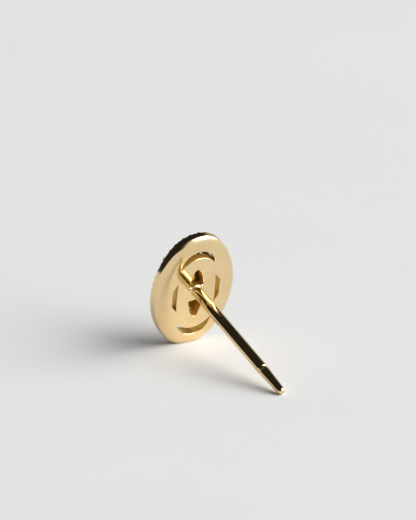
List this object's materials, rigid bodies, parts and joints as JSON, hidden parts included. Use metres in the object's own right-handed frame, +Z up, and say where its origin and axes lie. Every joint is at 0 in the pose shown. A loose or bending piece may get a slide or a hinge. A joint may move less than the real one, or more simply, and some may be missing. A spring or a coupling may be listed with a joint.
{
  "type": "diamond stud earring",
  "caption": "Oval halo stud earring: claw-set centre stone, ring of small stones, pierced back plate, and a straight ear post with a friction groove.",
  "frame": {"origin": "on the floor under the middle of the stud's box", "axes": "+Z up from the floor, +Y the way the post points as seen from above, -Y the way the stones face, X across the head"},
  "size_m": [0.0058, 0.0136, 0.008],
  "materials": {
    "gold": "pale yellow gold, mirror polished",
    "centre_diamond": "clear, faceted, polished",
    "halo_diamond": "clear, faceted, polished"
  },
  "bodies": {
    "root": {"setting": "gold", "centre_stone": "centre_diamond", "halo_stone_01": "halo_diamond", "halo_stone_02": "halo_diamond", "halo_stone_03": "halo_diamond", "halo_stone_04": "halo_diamond", "halo_stone_05": "halo_diamond", "halo_stone_06": "halo_diamond", "halo_stone_07": "halo_diamond", "halo_stone_08": "halo_diamond", "halo_stone_09": "halo_diamond", "halo_stone_10": "halo_diamond", "halo_stone_11": "halo_diamond", "halo_stone_12": "halo_diamond", "halo_stone_13": "halo_diamond", "halo_stone_14": "halo_diamond", "halo_stone_15": "halo_diamond", "halo_stone_16": "halo_diamond", "halo_stone_17": "halo_diamond", "halo_stone_18": "halo_diamond", "halo_stone_19": "halo_diamond", "halo_stone_20": "halo_diamond", "halo_stone_21": "halo_diamond"}
  },
  "joints": []
}
